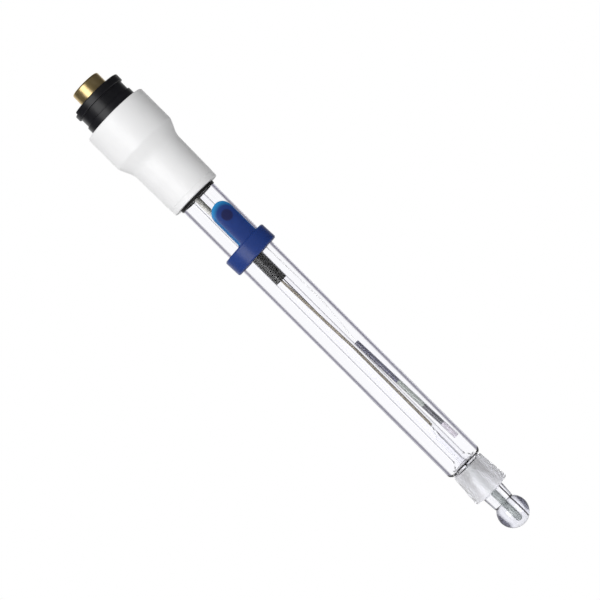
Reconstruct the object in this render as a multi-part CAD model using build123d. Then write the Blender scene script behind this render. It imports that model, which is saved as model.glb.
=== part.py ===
from build123d import *
import math
import os

# Combination glass electrode with a refillable reference chamber. Lengths are in millimetres and
# angles in degrees. Z runs up the electrode's axis, head upwards. z = 0 is the underside of the
# head, where the glass shaft leaves it. -Y is the front, +X is to the right of it.

# Glass shaft, the outer tube of the reference chamber
shaft_r = 6.0
shaft_wall = 1.05
shaft_length = 108.3
shaft_seat = 12.0
shoulder_round = 1.5
floor_wall = 0.75
floor_round = 1.1

# Fill hole in the shaft, turned a little to the right of the front
fill_hole_r = 1.5
fill_hole_drop = 10.3
fill_hole_turn = 19.0

# Inner glass stem, from the head through the shaft to the membrane
stem_r = 2.13
stem_wall = 0.6
stem_seat = 14.5
flare_length = 2.4
foot_r = 3.6
foot_wall = 0.75

# Ground joint: a cone on the stem and the captive sleeve that closes it
core_top_r = 4.3
core_taper = 4.6
joint_gap = 0.04
sleeve_wall = 0.8
sleeve_length = 9.8
sleeve_room = 0.4
sleeve_top_round = 0.2
sleeve_foot_round = 0.35
core_short = 0.3
weep_r = 0.3
weep_start_r = 4.15
weep_slant = 16.0
weep_turn = 115.0

# Membrane bulb, blown on the end of the stem
bulb_r = 4.75
bulb_wall = 0.45
bulb_neck_r = 3.2
neck_length = 5.1
neck_blend = 0.8

# White head
head_height = 32.75
barrel_r = 10.45
collar_r = 8.42
collar_foot_r = 8.22
collar_height = 16.4
shoulder_angle = 25.0
shoulder_top_round = 2.0
shoulder_foot_round = 6.0
head_wall = 1.9
head_edge = 0.45
lip_height = 1.9
lip_step = 0.07
head_foot_round = 0.35

# Seals round the shaft
gasket_wall = 0.25
gasket_drop = 0.85
gasket_seat = 3.0
slip = 0.03
stopper_seat = 9.0
stopper_drop = 0.5

# Connector on the head
flange_r = 8.25
flange_height = 2.5
waist_r = 7.8
waist_height = 3.05
land_r = 8.4
land_height = 2.3
land_edge = 0.35
notch_depth = 0.75
notch_inner_r = 6.5
notch_width = 7.5
spigot_r = 7.2
spigot_length = 4.5
contact_circle_r = 6.3
contact_r = 0.4
contact_hole_r = 0.72
contact_hole_depth = 2.5
contact_recess = 0.6
contact_tail = 1.0
contact_count = 4
coax_r = 4.83
coax_wall = 0.8
coax_rise = 4.3
coax_edge = 0.55
coax_shank_r = 5.2
coax_flange_r = 5.8
coax_flange_height = 1.2
insulator_sink = 2.2
pin_r = 0.65
pin_sink = 1.0
pin_tail = 1.6

# Blue refill ring and its tongue
ring_r = 7.6
ring_height = 5.45
ring_drop = 19.05
ring_edge = 0.35
ring_gap = 0.1
ring_cock = 2.5
tongue_half_width = 3.44
tongue_thickness = 1.0
tongue_overhang = 4.55
tongue_foot_round = 0.9
tongue_edge = 0.25
seal_r = 1.7
seal_thickness = 0.6
seal_gap = 0.05

# What lies in the stem
measuring_lead_r = 0.41
measuring_lead_x = -0.05
measuring_lead_y = -0.6
measuring_lead_bend = 5.0
sensor_cable_r = 0.5
sensor_cable_turn = 165.0
stem_stopper_top = 20.5
stem_stopper_foot = 34.2
stopper_squeeze = 0.02
lead_rod_r = 0.42
lead_rod_knee = 64.0
lead_rod_bend = 60.0
lead_knot_rise = 15.8
lead_knot_r = 0.47
silver_wire_r = 0.18
silver_wire_turn = 52.0
silver_wire_spread = 0.55
silver_wire_bend = 8.0
sensor_tube_r = 1.0
sensor_tube_wall = 0.22
sensor_tube_gap = 3.4
sensor_tube_room = 1.6
sensor_core_length = 20.5
sensor_lead_r = 0.12

# Reference cartridge in the shaft, leaning from the stem to the wall of the shaft
cartridge_r = 0.8
cartridge_wall = 0.12
cartridge_rise = 7.8
cartridge_length = 39.0
cartridge_front = 1.5
cartridge_gap = 0.08
wick_length = 10.0
stop_length = 7.3
plug_length = 5.5
reference_wire_r = 0.15
reference_wire_back = 3.2
reference_wire_side = 4.15
reference_wire_bends = (3.0, 3.0, 5.0, 5.0, 10.0)

# Heights that follow from the sizes
shaft_bore_r = shaft_r - shaft_wall
stem_bore_r = stem_r - stem_wall
shaft_floor_z = floor_wall - shaft_length
sleeve_top_z = -shaft_length - sleeve_room
sleeve_foot_z = sleeve_top_z - sleeve_length
core_foot_z = sleeve_foot_z + core_short
neck_z = sleeve_foot_z - neck_length
bulb_z = neck_z - math.sqrt(bulb_r**2 - bulb_neck_r**2)
head_socket_r = shaft_r + gasket_wall
shoulder_top_z = collar_height + (barrel_r - collar_r) / math.tan(math.radians(shoulder_angle))
connector_top_z = head_height + flange_height + waist_height + land_height
spigot_foot_z = head_height - spigot_length
coax_top_z = connector_top_z + coax_rise
coax_foot_z = spigot_foot_z - coax_flange_height
coax_bore_r = coax_r - coax_wall
ring_top_z = -ring_drop
ring_foot_z = ring_top_z - ring_height
ring_bore_r = shaft_r + ring_gap
tongue_r = ring_bore_r + tongue_thickness
tongue_tip_z = tongue_overhang - fill_hole_drop
sensor_foot_z = bulb_z - bulb_r + bulb_wall + sensor_tube_room
lead_knot_z = lead_knot_rise - shaft_length
sensor_top_z = lead_knot_z - 2 * lead_knot_r - sensor_tube_gap
cartridge_foot_z = cartridge_rise - shaft_length
cartridge_top_z = cartridge_foot_z + cartridge_length
salt_length = cartridge_length - wick_length - stop_length - plug_length


def turned(*corners):
    """Solid turned about Z. Each corner is its radius, its height and its rounding."""
    points = [(radius, 0, height) for radius, height, rounding in corners]
    roundings = [rounding for radius, height, rounding in corners]
    return revolve(make_face(FilletPolyline(*points, radius=roundings, close=True)), Axis.Z)


def tube(outer_r, inner_r, low, high):
    """Plain tube about Z between two heights."""
    return turned((inner_r, low, 0), (outer_r, low, 0), (outer_r, high, 0), (inner_r, high, 0))


def disc(radius, low, high):
    """Plain cylinder about Z between two heights."""
    return Pos(0, 0, (low + high) / 2) * Cylinder(radius, high - low)


def rod(start, end, radius):
    """Straight round rod between two points."""
    run = Vector(*end) - Vector(*start)
    return extrude(Plane(origin=start, z_dir=run) * Circle(radius), amount=run.length)


def wire(points, bends, radius):
    """Round wire along straight runs that are joined by arcs of the given radii."""
    path = FilletPolyline(*points, radius=bends)
    return sweep(Plane(origin=path @ 0, z_dir=path % 0) * Circle(radius), path=path)


def outward(turn, height):
    """Plane that faces away from the axis, turned from the front towards the right."""
    angle = math.radians(turn)
    side = (math.cos(angle), math.sin(angle), 0)
    return Plane(origin=(0, 0, height), x_dir=side, z_dir=(math.sin(angle), -math.cos(angle), 0))


def on_circle(radius, turn, height):
    """Point at a radius and an angle from +X."""
    angle = math.radians(turn)
    return (radius * math.cos(angle), radius * math.sin(angle), height)


def core_r(height):
    """Radius of the ground cone at a height. It widens downwards, which keeps the sleeve captive."""
    return core_top_r + (-shaft_length - height) * math.tan(math.radians(core_taper))


def weep_hole():
    """Fine slanted hole that lets the electrolyte out of the shaft into the ground joint."""
    slant = math.radians(weep_slant)
    start = Vector(weep_start_r, 0, shaft_floor_z)
    way = Vector(math.sin(slant), 0, -math.cos(slant))
    reach = 4 * floor_wall
    hole = rod(start - way * floor_wall, start + way * reach, weep_r)
    return Rot(0, 0, weep_turn) * hole


def head_cap():
    """White moulded head: a narrow collar, a sloping shoulder and a wide barrel, hollow inside."""
    ledge_z = head_height - head_wall
    cavity_r = barrel_r - head_wall
    socket_top_z = shaft_seat + slip
    return turned(
        (head_socket_r, 0, 0),
        (collar_foot_r - lip_step, 0, head_foot_round),
        (collar_foot_r - lip_step, lip_height, 0),
        (collar_foot_r, lip_height + lip_step, 0),
        (collar_r, collar_height, shoulder_foot_round),
        (barrel_r, shoulder_top_z, shoulder_top_round),
        (barrel_r, head_height, head_edge),
        (spigot_r + slip, head_height, 0),
        (spigot_r + slip, ledge_z, 0),
        (cavity_r, ledge_z, head_edge),
        (cavity_r, shoulder_top_z, shoulder_top_round),
        (collar_r - head_wall, collar_height, 0),
        (collar_r - head_wall, socket_top_z, 0),
        (head_socket_r, socket_top_z, 0),
    )


def shaft_gasket():
    """Black seal round the shaft, seated in the head and showing as a thin dark band below it."""
    outer_r = head_socket_r - slip
    edge = gasket_wall / 3
    return turned(
        (shaft_r + slip, -gasket_drop, 0),
        (outer_r, -gasket_drop, edge),
        (outer_r, gasket_seat, 0),
        (shaft_r + slip, gasket_seat, 0),
    )


def shaft_bond():
    """Resin that bonds the shaft into the head above the gasket."""
    return tube(head_socket_r - slip, shaft_r + slip, gasket_seat, shaft_seat)


def outer_tube():
    """Glass shaft: a tube with a rounded lower end that is fused to the stem, and the fill hole."""
    glass = turned(
        (shaft_bore_r, shaft_seat, 0),
        (shaft_r, shaft_seat, 0),
        (shaft_r, -shaft_length, shoulder_round),
        (foot_r, -shaft_length, 0),
        (foot_r, shaft_floor_z, 0),
        (shaft_bore_r, shaft_floor_z, floor_round),
    )
    hole = extrude(outward(fill_hole_turn, -fill_hole_drop) * Circle(fill_hole_r), amount=2 * shaft_r)
    return glass - hole - weep_hole()


def tube_stopper():
    """Black rubber stopper that closes the top of the shaft round the stem, inside the head."""
    stopper = tube(shaft_bore_r + stopper_squeeze, stem_r + slip, -stopper_drop, stopper_seat)
    passage_r = reference_wire_r + slip
    passage = Pos(0, reference_wire_back, 0) * disc(passage_r, -2 * stopper_drop, 2 * stopper_seat)
    return stopper - passage


def stem_tube():
    """Inner glass stem. It flares at the foot of the shaft, swells into the ground cone and runs on
    as a wider tube to the neck of the bulb."""
    flare_top_z = shaft_floor_z + flare_length
    foot_bore_r = foot_r - foot_wall
    bulb_bore_r = math.sqrt((bulb_r - bulb_wall) ** 2 - (neck_z - bulb_z) ** 2)
    glass = turned(
        (stem_bore_r, stem_seat, 0),
        (stem_r, stem_seat, 0),
        (stem_r, flare_top_z, flare_length / 2),
        (foot_r, shaft_floor_z, 0),
        (foot_r, -shaft_length, 0),
        (core_r(-shaft_length), -shaft_length, 0),
        (core_r(core_foot_z), core_foot_z, foot_wall / 2),
        (foot_r, core_foot_z - foot_wall, foot_wall / 2),
        (foot_r - foot_wall / 3, neck_z + neck_blend, neck_blend),
        (bulb_neck_r, neck_z, 0),
        (bulb_bore_r, neck_z, 0),
        (foot_bore_r, neck_z + neck_blend, neck_blend),
        (foot_bore_r, -shaft_length, flare_length / 2),
        (stem_bore_r, flare_top_z - foot_wall, flare_length / 2),
    )
    return glass - weep_hole()


def membrane_bulb():
    """Thin round membrane of the electrode, open towards the stem."""
    shell = Sphere(bulb_r) - Sphere(bulb_r - bulb_wall)
    return Pos(0, 0, bulb_z) * shell - disc(2 * bulb_r, neck_z, neck_z + 2 * bulb_r)


def ground_sleeve():
    """Frosted glass sleeve on the ground cone. Lifting it a little opens the joint."""
    top_r = core_r(sleeve_top_z) + joint_gap
    foot_bore_r = core_r(sleeve_foot_z) + joint_gap
    return turned(
        (top_r, sleeve_top_z, 0),
        (top_r + sleeve_wall, sleeve_top_z, sleeve_top_round),
        (foot_bore_r + sleeve_wall, sleeve_foot_z, sleeve_foot_round),
        (foot_bore_r, sleeve_foot_z, 0),
    )


def refill_ring():
    """Blue ring that grips the shaft, with the tongue that covers the fill hole, in one moulding.
    The ring sits slightly cocked, so its outside leans and its bore does not."""
    half = ring_height / 2
    body = turned(
        (0, -half, 0),
        (ring_r - ring_edge, -half, 0),
        (ring_r, ring_edge - half, 0),
        (ring_r, half - ring_edge, 0),
        (ring_r - ring_edge, half, 0),
        (0, half, 0),
    )
    body = Pos(0, 0, ring_top_z - half) * Rot(0, -ring_cock, 0) * body
    bore = disc(ring_bore_r, ring_foot_z - ring_height, tongue_tip_z + ring_height)
    recess = extrude(outward(fill_hole_turn, -fill_hole_drop) * Circle(seal_r + slip),
                     amount=ring_bore_r + seal_thickness)
    return body + tongue() - bore - recess


def tongue():
    """Tongue of the refill ring: a round-ended blade bent round the shaft, rooted in the ring."""
    blade_top = tongue_tip_z - tongue_half_width
    blade_foot = ring_foot_z + 2 * ring_edge
    root_top = ring_top_z - ring_edge
    height = blade_top - blade_foot
    blade = Pos(0, blade_top - height / 2) * Rectangle(2 * tongue_half_width, height)
    root = Pos(0, (root_top + blade_foot) / 2) * Rectangle(3 * tongue_half_width, root_top - blade_foot)
    outline = blade + root
    corners = [v for v in outline.vertices() if abs(v.Y - root_top) < ring_edge / 4]
    inner_corners = [v for v in corners if abs(v.X) < 1.2 * tongue_half_width]
    outline = fillet(inner_corners, tongue_foot_round + ring_edge)
    outline += Pos(0, blade_top) * Circle(tongue_half_width)
    shell = tube(tongue_r, 0.5 * ring_bore_r, blade_foot - ring_edge / 2, tongue_tip_z + tongue_edge)
    blade = extrude(outward(fill_hole_turn, 0) * outline, amount=2 * ring_r) & shell
    rim = [e for e in blade.edges() if e.center().Z > ring_top_z - ring_edge / 2 and on_rim(e)]
    return chamfer(rim, tongue_edge)


def on_rim(edge):
    """True for an edge that lies on the outer surface of the tongue."""
    middle = edge @ 0.5
    return math.hypot(middle.X, middle.Y) > tongue_r - slip


def hole_seal():
    """Dark rubber pad in the tongue that closes the fill hole."""
    pad_top = ring_bore_r + seal_thickness - slip
    pad = extrude(outward(fill_hole_turn, -fill_hole_drop) * Circle(seal_r), amount=pad_top)
    return pad - disc(shaft_r + seal_gap, -fill_hole_drop - 2 * seal_r, 2 * seal_r - fill_hole_drop)


def connector_ring():
    """Black connector body: flange, waist and grooved land, with a spigot that enters the head."""
    waist_foot_z = head_height + flange_height
    land_foot_z = waist_foot_z + waist_height
    bore_r = coax_shank_r + slip
    body = turned(
        (bore_r, spigot_foot_z, 0),
        (spigot_r, spigot_foot_z, 0),
        (spigot_r, head_height, 0),
        (flange_r, head_height, 0),
        (flange_r, waist_foot_z, land_edge / 2),
        (waist_r, waist_foot_z, 0),
        (waist_r, land_foot_z, 0),
        (land_r, land_foot_z, land_edge / 2),
        (land_r, connector_top_z, land_edge),
        (bore_r, connector_top_z, 0),
    )
    notch = Box(notch_width, notch_width, 2 * notch_depth)
    body -= Pos(-notch_inner_r - notch_width / 2, 0, connector_top_z) * notch
    passage = disc(contact_r + slip, spigot_foot_z - contact_tail, connector_top_z)
    mouth = disc(contact_hole_r, connector_top_z - contact_hole_depth, connector_top_z + contact_tail)
    return body - around_contacts(passage + mouth)


def around_contacts(piece):
    """The piece repeated at the place of each small contact."""
    first_turn = 180 / contact_count
    step = 360 / contact_count
    places = [first_turn + step * i for i in range(contact_count)]
    return [Rot(0, 0, turn) * Pos(contact_circle_r, 0, 0) * piece for turn in places]


def sensor_contacts():
    """Small contact pins of the temperature sensor, recessed round the coaxial socket."""
    top_z = connector_top_z - contact_recess
    pin = turned(
        (0, spigot_foot_z - contact_tail, 0),
        (contact_r, spigot_foot_z - contact_tail, 0),
        (contact_r, top_z, contact_r / 2),
        (0, top_z, 0),
    )
    return Compound(children=around_contacts(pin))


def coax_barrel():
    """Brass outer contact of the coaxial socket. A flange seats it under the black body, and the
    shoulder of its shank lies flush with the top of that body."""
    flange_top_z = coax_foot_z + coax_flange_height
    return turned(
        (coax_bore_r, coax_foot_z, 0),
        (coax_flange_r, coax_foot_z, 0),
        (coax_flange_r, flange_top_z, 0),
        (coax_shank_r, flange_top_z, 0),
        (coax_shank_r, connector_top_z, 0),
        (coax_r, connector_top_z, 0),
        (coax_r, coax_top_z, coax_edge),
        (coax_bore_r, coax_top_z, 0),
    )


def coax_insulator():
    """White insulator inside the brass barrel, sunk below its rim."""
    top_z = coax_top_z - insulator_sink
    return tube(coax_bore_r - slip, pin_r + slip, coax_foot_z, top_z)


def centre_contact():
    """Centre pin of the coaxial socket."""
    top_z = coax_top_z - pin_sink
    return turned(
        (0, coax_foot_z - pin_tail, 0),
        (pin_r, coax_foot_z - pin_tail, 0),
        (pin_r, top_z, pin_r * 0.8),
        (0, top_z, 0),
    )


def measuring_lead():
    """Dark insulated lead from the centre pin down to the stopper in the stem."""
    top_z = coax_foot_z - pin_tail
    points = [
        (0, 0, top_z),
        (0, 0, stem_seat + 0.6 * (top_z - stem_seat)),
        (measuring_lead_x, measuring_lead_y, stem_seat + 0.2 * (top_z - stem_seat)),
        (measuring_lead_x, measuring_lead_y, -stem_stopper_top),
    ]
    return wire(points, [measuring_lead_bend, measuring_lead_bend], measuring_lead_r)


def sensor_cable():
    """Beige cable from a sensor contact down to the stopper in the stem."""
    top_z = spigot_foot_z - contact_tail
    contact_turn = 3 * 180 / contact_count
    inner_r = stem_bore_r - sensor_cable_r - slip
    drop = top_z - stem_seat
    points = [
        on_circle(contact_circle_r, contact_turn, top_z),
        on_circle(contact_circle_r, contact_turn, top_z - 0.25 * drop),
        on_circle(inner_r, sensor_cable_turn, stem_seat + 0.3 * drop),
        on_circle(inner_r, sensor_cable_turn, -stem_stopper_top),
    ]
    return wire(points, [3 * sensor_cable_r, 5 * sensor_cable_r], sensor_cable_r)


def stem_stopper():
    """Black rubber stopper that closes the inner buffer chamber in the stem."""
    return disc(stem_bore_r + stopper_squeeze, -stem_stopper_foot, -stem_stopper_top)


def rod_wall_x():
    """How far to the right the lead rod can lie in the stem."""
    return stem_bore_r - lead_rod_r - slip


def lead_rod():
    """Thin sleeved rod with the sensor's leads, from the stopper down along the wall of the stem."""
    points = [
        (0, 0, -stem_stopper_foot),
        (rod_wall_x(), 0, -lead_rod_knee),
        (rod_wall_x(), 0, lead_knot_z),
    ]
    return wire(points, [lead_rod_bend], lead_rod_r)


def lead_knot():
    """Small bead that ends the sleeved rod."""
    middle_x = rod_wall_x() - lead_knot_r + lead_rod_r
    return Pos(middle_x, 0, lead_knot_z - lead_knot_r) * Sphere(lead_knot_r)


def sensor_tube():
    """Thin closed glass tube of the temperature sensor, from the stem down into the bulb."""
    inner_r = sensor_tube_r - sensor_tube_wall
    inner_foot_z = sensor_foot_z + sensor_tube_wall
    return turned(
        (0, sensor_foot_z, 0),
        (sensor_tube_r, sensor_foot_z, sensor_tube_r * 0.9),
        (sensor_tube_r, sensor_top_z, 0),
        (inner_r, sensor_top_z, 0),
        (inner_r, inner_foot_z, inner_r * 0.9),
        (0, inner_foot_z, 0),
    )


def sensor_core():
    """Grey sensor body in the lower part of its glass tube."""
    core_r_inside = sensor_tube_r - sensor_tube_wall - slip
    foot_z = sensor_foot_z + sensor_tube_wall + slip
    return turned(
        (0, foot_z, 0),
        (core_r_inside, foot_z, core_r_inside * 0.9),
        (core_r_inside, foot_z + sensor_core_length, 0),
        (0, foot_z + sensor_core_length, 0),
    )


def sensor_leads():
    """The two fine wires from the bead, through the mouth of the sensor tube, to the sensor body."""
    start_z = lead_knot_z - 2 * lead_knot_r
    end_z = sensor_foot_z + sensor_tube_wall + slip + sensor_core_length
    start_x = rod_wall_x() - lead_knot_r + lead_rod_r
    spread = sensor_tube_r - sensor_tube_wall - 3 * sensor_lead_r
    bend = 4 * sensor_lead_r
    leads = []
    for side in (-1, 1):
        points = [
            (start_x + side * sensor_lead_r * 1.2, 0, start_z),
            (side * spread, 0, sensor_top_z),
            (side * spread, 0, end_z),
        ]
        leads.append(wire(points, [bend], sensor_lead_r))
    return Compound(children=leads)


def silver_wire():
    """Coated silver wire of the measuring half cell, from the stopper down into the bulb."""
    inner_r = stem_bore_r - silver_wire_r - slip
    flare_z = shaft_floor_z + flare_length
    points = [
        on_circle(inner_r, silver_wire_turn, -stem_stopper_foot),
        on_circle(inner_r, silver_wire_turn, flare_z),
        on_circle(inner_r + silver_wire_spread, 0, sleeve_foot_z),
        on_circle(inner_r + silver_wire_spread, 0, bulb_z - bulb_neck_r),
    ]
    return wire(points, [silver_wire_bend, silver_wire_bend], silver_wire_r)


def cartridge_axis():
    """Upper and lower end of the cartridge's axis: against the stem above, the shaft below."""
    top_r = stem_r + cartridge_r + cartridge_gap
    foot_r_inside = shaft_bore_r - cartridge_r - cartridge_gap
    top_x = math.sqrt(top_r**2 - cartridge_front**2)
    foot_x = math.sqrt(foot_r_inside**2 - cartridge_front**2)
    top = Vector(top_x, -cartridge_front, cartridge_top_z)
    foot = Vector(foot_x, -cartridge_front, cartridge_foot_z)
    return top, foot


def cartridge_run(start, end, radius):
    """Round solid along the cartridge's axis between two distances from its top."""
    top, foot = cartridge_axis()
    way = (foot - top).normalized()
    return rod(top + way * start, top + way * end, radius)


def cartridge_tube():
    """Thin glass tube of the reference cartridge, open at both ends."""
    length = cartridge_length
    bore_r = cartridge_r - cartridge_wall
    return cartridge_run(0, length, cartridge_r) - cartridge_run(-cartridge_r, length + cartridge_r, bore_r)


def cartridge_fill(start, end):
    """One column of the cartridge's contents."""
    return cartridge_run(start, end, cartridge_r - cartridge_wall - slip)


def reference_wire():
    """Fine wire from the brass barrel through the stopper and along the shaft to the cartridge."""
    top, foot = cartridge_axis()
    barrel_middle_r = (coax_r + coax_bore_r) / 2
    above = coax_foot_z - stem_seat
    points = [
        (0, barrel_middle_r, coax_foot_z),
        (0, barrel_middle_r, coax_foot_z - 0.4 * above),
        (0, reference_wire_back, stem_seat),
        (0, reference_wire_back, -fill_hole_drop),
        (0.9 * reference_wire_side, 0.4 * reference_wire_side, -ring_drop),
        (reference_wire_side, -0.15 * reference_wire_side, 0.75 * cartridge_top_z),
        (top.X, top.Y, top.Z),
    ]
    return wire(points, reference_wire_bends, reference_wire_r)


def build():
    """Every piece by its name."""
    stop_start = salt_length + wick_length
    plug_start = stop_start + stop_length
    return {
        "head_cap": head_cap(),
        "connector_ring": connector_ring(),
        "coax_barrel": coax_barrel(),
        "coax_insulator": coax_insulator(),
        "centre_contact": centre_contact(),
        "sensor_contacts": sensor_contacts(),
        "shaft_gasket": shaft_gasket(),
        "shaft_bond": shaft_bond(),
        "outer_tube": outer_tube(),
        "tube_stopper": tube_stopper(),
        "stem_tube": stem_tube(),
        "stem_stopper": stem_stopper(),
        "membrane_bulb": membrane_bulb(),
        "ground_sleeve": ground_sleeve(),
        "refill_ring": refill_ring(),
        "hole_seal": hole_seal(),
        "measuring_lead": measuring_lead(),
        "sensor_cable": sensor_cable(),
        "reference_wire": reference_wire(),
        "silver_wire": silver_wire(),
        "lead_rod": lead_rod(),
        "lead_knot": lead_knot(),
        "sensor_tube": sensor_tube(),
        "sensor_core": sensor_core(),
        "sensor_leads": sensor_leads(),
        "cartridge_tube": cartridge_tube(),
        "cartridge_salt": cartridge_fill(0, salt_length),
        "cartridge_wick": cartridge_fill(salt_length, stop_start),
        "cartridge_stop": cartridge_fill(stop_start, plug_start),
        "cartridge_plug": cartridge_fill(plug_start, cartridge_length),
    }


os.makedirs("parts", exist_ok=True)
for name, solid in build().items():
    export_step(solid, f"parts/{name}.step")
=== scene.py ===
import math

import bmesh
import bpy
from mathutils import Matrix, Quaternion, Vector


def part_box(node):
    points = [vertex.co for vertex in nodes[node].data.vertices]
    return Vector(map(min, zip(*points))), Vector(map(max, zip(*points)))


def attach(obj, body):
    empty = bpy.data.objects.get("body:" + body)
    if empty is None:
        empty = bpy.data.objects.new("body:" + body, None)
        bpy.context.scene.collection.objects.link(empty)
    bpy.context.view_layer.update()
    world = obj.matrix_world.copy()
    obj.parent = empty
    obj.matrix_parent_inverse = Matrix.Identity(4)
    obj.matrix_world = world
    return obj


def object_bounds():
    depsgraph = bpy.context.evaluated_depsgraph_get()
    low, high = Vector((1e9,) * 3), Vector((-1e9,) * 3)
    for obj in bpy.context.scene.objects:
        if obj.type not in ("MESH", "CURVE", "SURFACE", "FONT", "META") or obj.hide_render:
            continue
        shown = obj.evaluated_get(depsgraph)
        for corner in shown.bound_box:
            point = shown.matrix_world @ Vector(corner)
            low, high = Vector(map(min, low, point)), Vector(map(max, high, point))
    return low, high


# Lengths are in metres. The frame's Z runs up the electrode's axis, and the photograph looks along +Y.
MM = 0.001

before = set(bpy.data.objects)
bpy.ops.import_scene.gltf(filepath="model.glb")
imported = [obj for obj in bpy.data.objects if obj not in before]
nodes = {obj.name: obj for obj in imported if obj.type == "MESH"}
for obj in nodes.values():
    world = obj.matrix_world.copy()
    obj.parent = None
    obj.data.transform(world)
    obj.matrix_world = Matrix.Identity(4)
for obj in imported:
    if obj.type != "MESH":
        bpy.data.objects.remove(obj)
cad_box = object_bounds()

# Camera: level, well in front of the electrode, and rolled so that the head is at the upper left
CAMERA_DISTANCE = 700 * MM
CAMERA_AIM = (-0.2 * MM, 0.0, -41.8 * MM)
CAMERA_ROLL = math.radians(45.07)
CAMERA_LENS = 147.7
CAMERA_CLIP = (0.01, 20)
SENSOR_WIDTH = 36.0

# The studio: one soft lamp, a world that is lit from the left, and a floor
KEY_PLACE = (-0.376, -0.706, 0.05)
KEY_AIM = (0, 0, -0.04)
KEY_SIZE = (0.62, 0.8)
KEY_POWER = 3.1
FLOOR_GAP = 90 * MM
FLOOR_SIZE = 6.0
FLOOR_COLOR = (0.9, 0.9, 0.9)
LIGHT_BOUNCES = 24

# The world's light grows from the first strength to the second as rays turn toward the azimuth, and the
# edges say how far they have turned, from -1 to 1.
SOFT_LIGHT = {"azimuth": -28.0, "edges": (-0.25, 0.25), "strengths": (0.07, 0.88)}
MIRRORED_ROOM = {"azimuth": -170.0, "edges": (0.55, 1.0), "strengths": (0.05, 1.0)}

# A depth between no glass passed and one glass passed
GLASS_PASSED = 0.5

# Light's bending. Shaft and stem bend it less than real glass, which keeps dark bands out of their walls
# and floor.
GLASS_IOR = 1.47
THIN_IOR = 1.25
BUFFER_IOR = 1.33

# Colours of clear glass, of the lamp's light behind it, of ground glass and of the liquid
CLEAR = (0.985, 0.985, 1.0)
THROUGH = (0.97, 0.97, 0.98)
GROUND_TINT = (0.98, 0.98, 1.0)
BUFFER_TINT = (0.96, 0.97, 0.97)

# The liquid's overlap with the glass, the widest wall that counts as the stem's bore, and the corners of
# a turned ring
LIQUID_OVERLAP = 0.02 * MM
BORE_LIMIT = 3.3 * MM
TURN_STEPS = 96

# Grains a metre of the clouds in colour and gloss and of the fine surfaces
COLOR_CLOUD = 160.0
GLOSS_CLOUD = 420.0
METAL_CLOUD = 380.0
LIQUID_CLOUD = 60.0
FINE_GRAIN = 2500.0
CONNECTOR_GRAIN = 1800.0
SALT_GRAIN = 6000.0
GROUND_GRAIN = 9000.0
GLASS_DRAWS = 260.0
TURNED_GROOVES = 20000.0

# Detail of the noise: of most clouds, of the fine surfaces and of drawn glass
CLOUD_DETAIL = 3.0
FINE_DETAIL = 2.0
DRAWN_DETAIL = 1.0

# How noise is stretched along a piece's axes: as rings on metal, and as draws along glass
RING_STRETCH = (0.02, 0.02, 1.0)
DRAWN_STRETCH = (1, 1, 0.12)

# Where a cloud's darker and paler colours stand, and the shares of the roughness that it runs between
CLOUD_STOPS = (0.3, 0.7)
METAL_STOPS = (0.35, 0.65)
PLASTIC_SHARES = (0.85, 1.15)
METAL_SHARES = (0.8, 1.25)

# Height and strength of the fine surfaces
GRAIN = (0.004 * MM, 0.35)
GROOVES = (0.003 * MM, 0.5)
GROUND = (0.01 * MM, 0.6)
GLASS_WAVER = (0.004 * MM, 1.0)

# Ground glass: its roughness, and the share of light that passes
GROUND_ROUGHNESS = (0.3, 0.42)
GROUND_PASSING = 0.8

# The square of a normal's rise, from an upright wall to what counts as a flat end
END_EDGES = (0.0, 0.5)

# Gloss of moulded pieces in air, and of those behind glass or in a liquid
DRY = 0.5
WET = 0.12

# Places on the blue ring, which the CAD model gives, and its colours: a painted cyan glow where the tongue
# is thin, in place of light passing through it, and painted shade where the pad lies behind
TONGUE_TURN = 19.0
RING_TOP_Z = -18.9 * MM
PAD_Z = -10.3 * MM
PAD_EDGES = (1.5 * MM, 1.9 * MM)
PAD_SHARES = (0.85, 0.0)
PAINTED_GLOW_EDGES = (2.8 * MM, 4.2 * MM)
PAINTED_GLOW_SHARES = (0.0, 1.0)
RING_DARK = (0.009, 0.036, 0.2)
RING_PALE = (0.012, 0.044, 0.23)
RING_PAINTED_GLOW = (0.008, 0.27, 0.62)
RING_ROUGHNESS = (0.28, 0.36)
PAD_SHADE = (0.012, 0.012, 0.07)

# Moulded materials: the darker and the paler colour, the roughness, the grain and the gloss
PLASTICS = {
    "head_white": ((0.86, 0.86, 0.865), (0.885, 0.885, 0.89), 0.33, FINE_GRAIN, DRY),
    "connector_black": ((0.004, 0.004, 0.006), (0.006, 0.006, 0.009), 0.34, CONNECTOR_GRAIN, DRY),
    "seal_dark": ((0.02, 0.012, 0.06), (0.03, 0.018, 0.075), 0.5, FINE_GRAIN, DRY),
    "seal_black": ((0.012, 0.012, 0.012), (0.018, 0.018, 0.018), 0.42, FINE_GRAIN, WET),
    "insulator_white": ((0.8, 0.8, 0.78), (0.86, 0.86, 0.84), 0.4, FINE_GRAIN, DRY),
    "resin": ((0.5, 0.48, 0.43), (0.58, 0.56, 0.5), 0.4, FINE_GRAIN, DRY),
    "lead_olive": ((0.07, 0.07, 0.055), (0.1, 0.1, 0.08), 0.4, FINE_GRAIN, WET),
    "cable_beige": ((0.62, 0.61, 0.55), (0.68, 0.67, 0.6), 0.45, FINE_GRAIN, WET),
    "sleeve_brown": ((0.2, 0.18, 0.14), (0.26, 0.23, 0.18), 0.4, FINE_GRAIN, WET),
    "core_grey": ((0.3, 0.33, 0.31), (0.37, 0.4, 0.38), 0.6, FINE_GRAIN, WET),
    "salt_navy": ((0.03, 0.03, 0.07), (0.09, 0.09, 0.14), 0.7, SALT_GRAIN, WET),
    "wick_green": ((0.25, 0.28, 0.25), (0.36, 0.39, 0.35), 0.7, SALT_GRAIN, WET),
    "stop_dark": ((0.03, 0.03, 0.04), (0.07, 0.07, 0.09), 0.6, FINE_GRAIN, WET),
    "plug_pale": ((0.52, 0.48, 0.52), (0.62, 0.58, 0.62), 0.7, FINE_GRAIN, WET),
}

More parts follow.
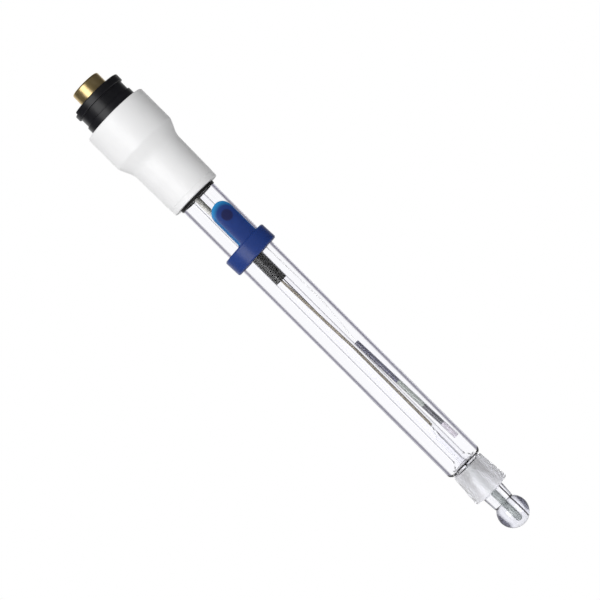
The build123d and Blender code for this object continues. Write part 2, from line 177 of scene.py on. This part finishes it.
# Metals: the darker and the paler colour, and the roughness
METALS = {
    "brass_plating": ((0.8, 0.6, 0.28), (0.88, 0.68, 0.36), 0.3),
    "gold_contact": ((0.85, 0.6, 0.22), (0.9, 0.66, 0.28), 0.2),
    "silver": ((0.6, 0.6, 0.6), (0.7, 0.7, 0.7), 0.3),
    "silver_dark": ((0.09, 0.085, 0.09), (0.14, 0.13, 0.14), 0.45),
}

# Clear glass: the radius beyond which it is skin, its bending, and the skin's painted shade as it turns
# away, in place of the dark bands at a thick wall's edges
GLASSES = {
    "shaft_glass": (
        5.5 * MM,
        THIN_IOR,
        [(0.4, CLEAR), (0.5, (0.10, 0.095, 0.14)), (0.64, (0.06, 0.055, 0.09)), (0.8, (0.5, 0.5, 0.6))],
    ),
    "stem_glass": (
        1.85 * MM,
        THIN_IOR,
        [(0.4, CLEAR), (0.52, (0.3, 0.3, 0.33)), (0.66, (0.16, 0.16, 0.19)), (0.85, (0.5, 0.5, 0.55))],
    ),
    "fine_glass": (0.0, GLASS_IOR, [(0.5, CLEAR), (0.75, (0.4, 0.4, 0.45))]),
    "wet_glass": (0.0, GLASS_IOR / BUFFER_IOR, [(0.5, CLEAR), (0.8, (0.5, 0.5, 0.52))]),
    "membrane_glass": (
        0.0,
        GLASS_IOR,
        [(0.18, (0.93, 0.93, 0.98)), (0.34, (0.05, 0.05, 0.07)), (0.6, (0.1, 0.1, 0.15))],
    ),
}

# The material of each CAD node
FINISHES = {
    "head_cap": "head_white",
    "connector_ring": "connector_black",
    "coax_barrel": "brass_plating",
    "coax_insulator": "insulator_white",
    "centre_contact": "gold_contact",
    "sensor_contacts": "gold_contact",
    "shaft_gasket": "seal_black",
    "shaft_bond": "resin",
    "outer_tube": "shaft_glass",
    "tube_stopper": "seal_black",
    "stem_tube": "stem_glass",
    "stem_stopper": "seal_black",
    "membrane_bulb": "membrane_glass",
    "ground_sleeve": "frosted_glass",
    "refill_ring": "ring_blue",
    "hole_seal": "seal_dark",
    "measuring_lead": "lead_olive",
    "sensor_cable": "cable_beige",
    "reference_wire": "silver",
    "silver_wire": "silver_dark",
    "lead_rod": "sleeve_brown",
    "lead_knot": "sleeve_brown",
    "sensor_tube": "wet_glass",
    "sensor_core": "core_grey",
    "sensor_leads": "silver",
    "cartridge_tube": "fine_glass",
    "cartridge_salt": "salt_navy",
    "cartridge_wick": "wick_green",
    "cartridge_stop": "stop_dark",
    "cartridge_plug": "plug_pale",
}


def node_material(name):
    """New node material and its tree, emptied."""
    material = bpy.data.materials.new(name)
    material.use_nodes = True
    material.node_tree.nodes.clear()
    return material, material.node_tree


def join(tree, socket, value):
    """Links a socket to another one, or sets it where the value is a plain one."""
    if isinstance(value, bpy.types.NodeSocket):
        tree.links.new(value, socket)
    else:
        socket.default_value = value


def add(tree, kind, **inputs):
    """Node of a kind. Each name is an input of the node, and its value is set or linked."""
    node = tree.nodes.new(kind)
    for name, value in inputs.items():
        join(tree, node.inputs[name.replace("_", " ")], value)
    return node


def output(tree, surface):
    """Material output for a surface."""
    end = tree.nodes.new("ShaderNodeOutputMaterial")
    tree.links.new(surface, end.inputs["Surface"])


def object_place(tree, scale=(1, 1, 1)):
    """Place on the piece, scaled."""
    place = add(tree, "ShaderNodeTexCoord")
    mapping = add(tree, "ShaderNodeMapping", Vector=place.outputs["Object"], Scale=scale)
    return mapping.outputs["Vector"]


def noise(tree, place, scale, detail=CLOUD_DETAIL):
    """Noise value from 0 to 1."""
    return add(tree, "ShaderNodeTexNoise", Vector=place, Scale=scale, Detail=detail).outputs["Fac"]


def ramp(tree, value, *stops):
    """Colour that follows a value. Each stop is its place and its colour."""
    node = add(tree, "ShaderNodeValToRGB", Fac=value)
    elements = node.color_ramp.elements
    while len(elements) < len(stops):
        elements.new(0.5)
    for element, (place, color) in zip(elements, stops):
        element.position = place
        element.color = (*color, 1)
    return node.outputs["Color"]


def spread(tree, value, ends, edges=(0.0, 1.0)):
    """Value that runs from one end to the other while the given one runs between the edges."""
    node = add(tree, "ShaderNodeMapRange", Value=value)
    for name, limit in zip(("From Min", "From Max", "To Min", "To Max"), (*edges, *ends)):
        node.inputs[name].default_value = limit
    return node.outputs["Result"]


def bump(tree, height, surface):
    """Normal bent by a height. The surface says how high it is and how strong."""
    distance, strength = surface
    node = add(tree, "ShaderNodeBump", Height=height, Distance=distance, Strength=strength)
    return node.outputs["Normal"]


def calculated(tree, operation, first, second):
    """Result of an operation on two values."""
    node = tree.nodes.new("ShaderNodeMath")
    node.operation = operation
    join(tree, node.inputs[0], first)
    join(tree, node.inputs[1], second)
    return node.outputs["Value"]


def length(tree, vector):
    """Length of a vector."""
    node = add(tree, "ShaderNodeVectorMath", Vector=vector)
    node.operation = "LENGTH"
    return node.outputs["Value"]


def mixed(tree, share, first, second):
    """Two shaders mixed by a share."""
    node = tree.nodes.new("ShaderNodeMixShader")
    for socket, value in zip(node.inputs, (share, first, second)):
        tree.links.new(value, socket)
    return node.outputs["Shader"]


def tinted(tree, share, first, color):
    """Colour that moves to another one by a share."""
    node = tree.nodes.new("ShaderNodeMix")
    node.data_type = "RGBA"
    tree.links.new(share, node.inputs[0])
    tree.links.new(first, node.inputs[6])
    node.inputs[7].default_value = (*color, 1)
    return node.outputs[2]


def upright(tree):
    """1 on the walls that run along the axis, falling to 0 on the flat ends."""
    normal = add(tree, "ShaderNodeTexCoord").outputs["Normal"]
    tilt = add(tree, "ShaderNodeSeparateXYZ", Vector=normal).outputs["Z"]
    return spread(tree, calculated(tree, "MULTIPLY", tilt, tilt), (1.0, 0.0), END_EDGES)


def lit_through(tree, glass):
    """Glass that lets the lamp's light pass straight to what is behind it."""
    ray = add(tree, "ShaderNodeLightPath")
    open_way = add(tree, "ShaderNodeBsdfTransparent", Color=(*THROUGH, 1))
    return mixed(tree, ray.outputs["Is Shadow Ray"], glass, open_way.outputs["BSDF"])


def moulded(name, dark, pale, roughness, grain, gloss):
    """Moulded plastic: a faint cloud in its colour, a fine grain in its gloss and surface."""
    material, tree = node_material(name)
    place = object_place(tree)
    shader = add(
        tree,
        "ShaderNodeBsdfPrincipled",
        Base_Color=ramp(tree, noise(tree, place, COLOR_CLOUD), *zip(CLOUD_STOPS, (dark, pale))),
        Roughness=spread(tree, noise(tree, place, GLOSS_CLOUD), [roughness * s for s in PLASTIC_SHARES]),
        Normal=bump(tree, noise(tree, place, grain, FINE_DETAIL), GRAIN),
        Specular_IOR_Level=gloss,
    )
    output(tree, shader.outputs["BSDF"])
    return material


def turned_metal(name, dark, pale, roughness):
    """Lathe-turned plated metal with fine rings round the axis."""
    material, tree = node_material(name)
    rings = noise(tree, object_place(tree, RING_STRETCH), TURNED_GROOVES, FINE_DETAIL)
    cloud = noise(tree, object_place(tree), METAL_CLOUD)
    shader = add(
        tree,
        "ShaderNodeBsdfPrincipled",
        Base_Color=ramp(tree, cloud, *zip(METAL_STOPS, (dark, pale))),
        Metallic=1.0,
        Roughness=spread(tree, cloud, [roughness * s for s in METAL_SHARES]),
        Normal=bump(tree, rings, GROOVES),
    )
    output(tree, shader.outputs["BSDF"])
    return material


def clear_glass(name, skin_radius, ior, stops):
    """Blown glass. Its outer skin, beyond a radius, carries painted shade where it turns away, in place of
    the dark bands that a thick wall shows.
    """
    material, tree = node_material(name)
    facing = add(tree, "ShaderNodeLayerWeight", Blend=0.5).outputs["Facing"]
    radius = length(tree, object_place(tree, (1, 1, 0)))
    outside = calculated(tree, "GREATER_THAN", radius, skin_radius)
    # Painted shade: the outer skin's base colour darkens as it turns away
    painted_edge_shade = calculated(tree, "MULTIPLY", facing, outside)
    painted_edge_shade = calculated(tree, "MULTIPLY", painted_edge_shade, upright(tree))
    draws = noise(tree, object_place(tree, DRAWN_STRETCH), GLASS_DRAWS, DRAWN_DETAIL)
    shader = add(
        tree,
        "ShaderNodeBsdfPrincipled",
        Base_Color=ramp(tree, painted_edge_shade, (0.0, CLEAR), *stops),
        Normal=bump(tree, draws, GLASS_WAVER),
        Roughness=0.0,
        IOR=ior,
        Transmission_Weight=1.0,
    )
    output(tree, lit_through(tree, shader.outputs["BSDF"]))
    return material


def clear_liquid(name, tint):
    """Clear liquid that fills a glass piece."""
    material, tree = node_material(name)
    cloud = noise(tree, object_place(tree), LIQUID_CLOUD)
    shader = add(
        tree,
        "ShaderNodeBsdfPrincipled",
        Base_Color=ramp(tree, cloud, *zip(CLOUD_STOPS, (tint, CLEAR))),
        Roughness=0.0,
        IOR=BUFFER_IOR,
        Transmission_Weight=1.0,
    )
    output(tree, lit_through(tree, shader.outputs["BSDF"]))
    return material


def ground_glass(name):
    """Ground glass: translucent, with a fine grain all over."""
    material, tree = node_material(name)
    grain = noise(tree, object_place(tree), GROUND_GRAIN, FINE_DETAIL)
    shader = add(
        tree,
        "ShaderNodeBsdfPrincipled",
        Base_Color=(*GROUND_TINT, 1),
        IOR=GLASS_IOR,
        Roughness=spread(tree, grain, GROUND_ROUGHNESS),
        Normal=bump(tree, grain, GROUND),
        Transmission_Weight=GROUND_PASSING,
    )
    output(tree, lit_through(tree, shader.outputs["BSDF"]))
    return material


def blue_moulding(name):
    """Blue plastic with painted light where it is thin: a painted cyan glow along the tongue's round end
    and its sides, in place of light passing through, and painted shade where the pad lies behind the
    tongue."""
    material, tree = node_material(name)
    place = object_place(tree)
    turned = add(tree, "ShaderNodeVectorRotate", Vector=place, Angle=-math.radians(TONGUE_TURN))
    turned.rotation_type = "Z_AXIS"
    along = add(tree, "ShaderNodeSeparateXYZ", Vector=turned.outputs["Vector"])
    rise = calculated(tree, "SUBTRACT", along.outputs["Z"], PAD_Z)
    above = calculated(tree, "MAXIMUM", rise, 0.0)
    from_pad, from_middle = [
        length(tree, add(tree, "ShaderNodeCombineXYZ", X=along.outputs["X"], Y=height).outputs["Vector"])
        for height in (rise, above)
    ]
    body = ramp(tree, noise(tree, place, COLOR_CLOUD), *zip(CLOUD_STOPS, (RING_DARK, RING_PALE)))
    # Painted light: cyan glow on the tongue's thin round end and sides, in place of light passing through
    # it
    painted_glow = spread(tree, from_middle, PAINTED_GLOW_SHARES, PAINTED_GLOW_EDGES)
    on_tongue = calculated(tree, "GREATER_THAN", along.outputs["Z"], RING_TOP_Z)
    paler = tinted(tree, calculated(tree, "MULTIPLY", painted_glow, on_tongue), body, RING_PAINTED_GLOW)
    # Painted shade: darker where the pad lies behind the tongue
    shader = add(
        tree,
        "ShaderNodeBsdfPrincipled",
        Base_Color=tinted(tree, spread(tree, from_pad, PAD_SHARES, PAD_EDGES), paler, PAD_SHADE),
        Roughness=spread(tree, noise(tree, place, GLOSS_CLOUD), RING_ROUGHNESS),
        Normal=bump(tree, noise(tree, place, FINE_GRAIN, FINE_DETAIL), GRAIN),
    )
    output(tree, shader.outputs["BSDF"])
    return material


def coat(piece, material):
    """Gives every face of a piece one material."""
    for slot in piece.material_slots:
        slot.material = material
    if not piece.material_slots:
        piece.data.materials.append(material)


def turned_piece(name, profile):
    """Closed solid turned about Z from points of radius and height that start and end on the axis."""
    form = bmesh.new()
    turns = [2 * math.pi * i / TURN_STEPS for i in range(TURN_STEPS)]
    rings = []
    for radius, height in profile:
        around = turns if radius else turns[:1]
        places = [(radius * math.cos(t), radius * math.sin(t), height) for t in around]
        rings.append([form.verts.new(place) for place in places])
    for low, high in zip(rings, rings[1:]):
        for i in range(TURN_STEPS):
            j = (i + 1) % TURN_STEPS
            corners = [low[i % len(low)], low[j % len(low)], high[j % len(high)], high[i % len(high)]]
            form.faces.new(list(dict.fromkeys(corners)))
    bmesh.ops.recalc_face_normals(form, faces=form.faces)
    mesh = bpy.data.meshes.new(name)
    form.to_mesh(mesh)
    form.free()
    for face in mesh.polygons:
        face.use_smooth = True
    piece = bpy.data.objects.new(name, mesh)
    bpy.context.scene.collection.objects.link(piece)
    return piece


def bore_profile(name, widest):
    """Radius at each height of a node's inner wall, as a dict. Walls wider than a radius don't count."""
    mesh = nodes[name].data
    profile = {}
    for face in mesh.polygons:
        if face.center.x * face.normal.x + face.center.y * face.normal.y >= 0:
            continue
        for index in face.vertices:
            point = mesh.vertices[index].co
            radius = math.hypot(point.x, point.y)
            if radius < widest:
                profile[round(point.z, 6)] = radius
    return profile


def inner_buffer(material):
    """The liquid that shows in the foot of the stem and in the bulb, up to the top of the ground sleeve.
    It overlaps the glass by a hair, so that light passes from one to the other as where they touch."""
    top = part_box("ground_sleeve")[1].z
    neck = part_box("stem_tube")[0].z
    profile = {z: r for z, r in bore_profile("stem_tube", BORE_LIMIT).items() if neck < z < top}
    profile.update({z: r for z, r in bore_profile("membrane_bulb", math.inf).items() if z < neck})
    profile[top] = profile[max(profile)]
    heights = sorted(profile)
    wall = [(profile[z] + LIQUID_OVERLAP, z) for z in heights]
    lowest = (0, heights[0] - LIQUID_OVERLAP)
    piece = turned_piece("inner_buffer", [lowest, *wall, (0, top)])
    coat(piece, material)
    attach(piece, "electrode")


def dress():
    """Makes the materials, gives each CAD node its own, and adds the liquid."""
    materials = {name: moulded(name, *finish) for name, finish in PLASTICS.items()}
    materials.update({name: turned_metal(name, *finish) for name, finish in METALS.items()})
    materials.update({name: clear_glass(name, *finish) for name, finish in GLASSES.items()})
    materials["frosted_glass"] = ground_glass("frosted_glass")
    materials["ring_blue"] = blue_moulding("ring_blue")
    for name, finish in FINISHES.items():
        coat(nodes[name], materials[finish])
    inner_buffer(clear_liquid("inner_buffer", BUFFER_TINT))


def toward(tree, azimuth):
    """How far a ray heads for an azimuth, from -1 to 1. 0 degrees is the front, 90 is the right."""
    angle = math.radians(azimuth)
    node = add(tree, "ShaderNodeVectorMath", Vector=add(tree, "ShaderNodeTexCoord").outputs["Generated"])
    node.operation = "DOT_PRODUCT"
    node.inputs[1].default_value = (math.sin(angle), -math.cos(angle), 0)
    return node.outputs["Value"]


def make_world():
    """World that lights from the left, as a white tent with one dark side does. Metal and gloss see a dark
    room with a bright back, and the camera and the glass see white."""
    world = bpy.data.worlds.new("studio")
    bpy.context.scene.world = world
    world.use_nodes = True
    tree = world.node_tree
    tree.nodes.clear()
    ray = add(tree, "ShaderNodeLightPath").outputs
    inside = calculated(tree, "GREATER_THAN", ray["Transmission Depth"], GLASS_PASSED)
    glass = calculated(tree, "MAXIMUM", ray["Is Transmission Ray"], inside)
    seen = calculated(tree, "MAXIMUM", ray["Is Camera Ray"], glass)
    white = (1, 1, 1, 1)
    soft, mirrored = [
        add(
            tree,
            "ShaderNodeBackground",
            Color=white,
            Strength=spread(tree, toward(tree, light["azimuth"]), light["strengths"], light["edges"]),
        )
        for light in (SOFT_LIGHT, MIRRORED_ROOM)
    ]
    plain = add(tree, "ShaderNodeBackground", Color=white, Strength=1.0)
    around = mixed(tree, ray["Is Glossy Ray"], soft.outputs["Background"], mirrored.outputs["Background"])
    end = tree.nodes.new("ShaderNodeOutputWorld")
    tree.links.new(mixed(tree, seen, around, plain.outputs["Background"]), end.inputs["Surface"])


def make_floor():
    """Pale floor below the hanging electrode. It is white to the camera and the glass."""
    lowest = cad_box[0].z - FLOOR_GAP
    half = FLOOR_SIZE / 2
    corners = [(-half, -half, lowest), (half, -half, lowest), (half, half, lowest), (-half, half, lowest)]
    mesh = bpy.data.meshes.new("floor")
    mesh.from_pydata(corners, [], [(0, 1, 2, 3)])
    floor = bpy.data.objects.new("floor", mesh)
    bpy.context.scene.collection.objects.link(floor)
    material, tree = node_material("floor_white")
    ray = add(tree, "ShaderNodeLightPath").outputs
    seen = calculated(tree, "MAXIMUM", ray["Is Camera Ray"], ray["Is Transmission Ray"])
    paint = add(tree, "ShaderNodeBsdfDiffuse", Color=(*FLOOR_COLOR, 1))
    glow = add(tree, "ShaderNodeEmission", Color=(1, 1, 1, 1), Strength=1.0)
    output(tree, mixed(tree, seen, paint.outputs["BSDF"], glow.outputs["Emission"]))
    mesh.materials.append(material)


def make_lamp():
    """Soft rectangular lamp at the front left."""
    data = bpy.data.lights.new("key", "AREA")
    data.shape = "RECTANGLE"
    data.size, data.size_y = KEY_SIZE
    data.energy = KEY_POWER
    lamp = bpy.data.objects.new("key", data)
    lamp.location = KEY_PLACE
    lamp.rotation_mode = "QUATERNION"
    lamp.rotation_quaternion = (Vector(KEY_PLACE) - Vector(KEY_AIM)).to_track_quat("Z", "Y")
    bpy.context.scene.collection.objects.link(lamp)


def make_camera():
    """Camera at the photograph's viewing angle."""
    data = bpy.data.cameras.new("camera")
    data.sensor_width = SENSOR_WIDTH
    data.lens = CAMERA_LENS
    data.clip_start, data.clip_end = CAMERA_CLIP
    camera = bpy.data.objects.new("camera", data)
    backward = Vector((0, -CAMERA_DISTANCE, 0))
    camera.location = Vector(CAMERA_AIM) + backward
    camera.rotation_mode = "QUATERNION"
    camera.rotation_quaternion = backward.to_track_quat("Z", "Y") @ Quaternion((0, 0, 1), -CAMERA_ROLL)
    bpy.context.scene.collection.objects.link(camera)
    bpy.context.scene.camera = camera


scene = bpy.context.scene
scene.view_settings.view_transform = "Standard"
scene.cycles.max_bounces = LIGHT_BOUNCES
scene.cycles.transmission_bounces = LIGHT_BOUNCES
scene.cycles.glossy_bounces = LIGHT_BOUNCES
make_world()
make_floor()
make_camera()
dress()
make_lamp()
